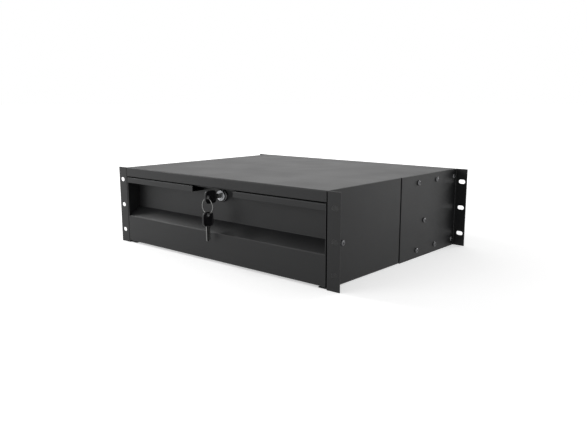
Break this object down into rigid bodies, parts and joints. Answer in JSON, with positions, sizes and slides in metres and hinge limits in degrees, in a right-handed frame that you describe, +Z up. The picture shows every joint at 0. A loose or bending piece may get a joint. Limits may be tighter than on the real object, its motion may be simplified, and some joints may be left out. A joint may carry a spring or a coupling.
{
  "type": "sliding rack drawer",
  "caption": "Lockable steel drawer for a 19 inch rack, with rack ears front and rear, a full-width finger recess, telescopic ball slides and a cam lock with keys.",
  "frame": {"origin": "middle of the front rack-slot pattern, on the front face of the rack ears", "axes": "+X right seen from the front, +Y into the rack, +Z up"},
  "size_m": [0.4826, 0.3767, 0.132],
  "materials": {
    "case_steel": "satin black powder coat",
    "drawer_steel": "satin black powder coat",
    "slide_steel": "zinc-plated cold-rolled steel",
    "ball_steel": "polished bearing steel",
    "screw_steel": "glossy dark plated steel",
    "plated_steel": "zinc-plated steel",
    "lock_metal": "chrome-plated die casting",
    "key_metal": "nickel-plated",
    "collar_black": "glossy black",
    "key_plastic": "moulded black plastic"
  },
  "bodies": {
    "housing": {"top_cover": "case_steel", "side_panel_right": "case_steel", "side_panel_left": "case_steel", "rear_bracket_right": "case_steel", "rear_bracket_left": "case_steel", "rear_panel": "case_steel", "lock_strike": "case_steel", "bracket_screws_right": "screw_steel", "bracket_screws_left": "screw_steel", "bracket_nuts_right": "plated_steel", "bracket_nuts_left": "plated_steel", "slide_screws_right": "screw_steel", "slide_screws_left": "screw_steel", "slide_outer_right": "slide_steel", "slide_outer_left": "slide_steel"},
    "drawer": {"slide_inner_right": "slide_steel", "slide_inner_left": "slide_steel", "tray_screws_right": "plated_steel", "tray_screws_left": "plated_steel", "drawer_tray": "drawer_steel", "tray_front_wall": "drawer_steel", "tray_rear_wall": "drawer_steel", "drawer_front": "drawer_steel", "front_end_cap_right": "drawer_steel", "front_end_cap_left": "drawer_steel", "front_screws": "plated_steel", "front_nuts": "plated_steel", "lock_body": "lock_metal", "lock_collar": "collar_black", "lock_nut": "plated_steel"},
    "slide_middle_right": {"slide_middle_right": "slide_steel"},
    "outer_retainer_right": {"outer_cage_right": "slide_steel", "outer_balls_right": "ball_steel"},
    "inner_retainer_right": {"inner_cage_right": "slide_steel", "inner_balls_right": "ball_steel"},
    "slide_middle_left": {"slide_middle_left": "slide_steel"},
    "outer_retainer_left": {"outer_cage_left": "slide_steel", "outer_balls_left": "ball_steel"},
    "inner_retainer_left": {"inner_cage_left": "slide_steel", "inner_balls_left": "ball_steel"},
    "lock_cylinder": {"lock_plug": "lock_metal", "lock_cam": "lock_metal", "cam_screw": "plated_steel"},
    "key": {"key_blade": "key_metal", "key_bow": "key_plastic"},
    "ring": {"key_ring": "key_metal"},
    "spare_key": {"spare_key_blade": "key_metal", "spare_key_bow": "key_plastic"}
  },
  "joints": [
    {"name": "drawer_slide", "type": "slide", "parent": "housing", "child": "drawer", "axis": [0, -1, 0], "range_m": [0, 0.3]},
    {"name": "slide_middle_right_slide", "type": "slide", "parent": "housing", "child": "slide_middle_right", "axis": [0, -1, 0], "range_m": [0, 0.15]},
    {"name": "outer_retainer_right_slide", "type": "slide", "parent": "housing", "child": "outer_retainer_right", "axis": [0, -1, 0], "range_m": [0, 0.075]},
    {"name": "inner_retainer_right_slide", "type": "slide", "parent": "housing", "child": "inner_retainer_right", "axis": [0, -1, 0], "range_m": [0, 0.225]},
    {"name": "slide_middle_left_slide", "type": "slide", "parent": "housing", "child": "slide_middle_left", "axis": [0, -1, 0], "range_m": [0, 0.15]},
    {"name": "outer_retainer_left_slide", "type": "slide", "parent": "housing", "child": "outer_retainer_left", "axis": [0, -1, 0], "range_m": [0, 0.075]},
    {"name": "inner_retainer_left_slide", "type": "slide", "parent": "housing", "child": "inner_retainer_left", "axis": [0, -1, 0], "range_m": [0, 0.225]},
    {"name": "lock_turn", "type": "hinge", "parent": "drawer", "child": "lock_cylinder", "pos_m": [0, 0.016, 0.0365], "axis": [0, 1, 0], "range_deg": [0, 90]},
    {"name": "key_pull", "type": "slide", "parent": "lock_cylinder", "child": "key", "axis": [0, -1, 0], "range_m": [0, 0.03]},
    {"name": "ring_swing", "type": "hinge", "parent": "key", "child": "ring", "pos_m": [0, -0.0095, 0.0347], "axis": [-1, 0, 0], "range_deg": [0, 75]},
    {"name": "spare_key_swing", "type": "hinge", "parent": "ring", "child": "spare_key", "pos_m": [0, -0.0095, 0.0115], "axis": [-1, 0, 0], "range_deg": [0, 60]}
  ],
  "couplings": [
    {"joint": "slide_middle_right_slide", "follows": "drawer_slide", "ratio": 0.5},
    {"joint": "outer_retainer_right_slide", "follows": "drawer_slide", "ratio": 0.25},
    {"joint": "inner_retainer_right_slide", "follows": "drawer_slide", "ratio": 0.75},
    {"joint": "slide_middle_left_slide", "follows": "drawer_slide", "ratio": 0.5},
    {"joint": "outer_retainer_left_slide", "follows": "drawer_slide", "ratio": 0.25},
    {"joint": "inner_retainer_left_slide", "follows": "drawer_slide", "ratio": 0.75}
  ]
}
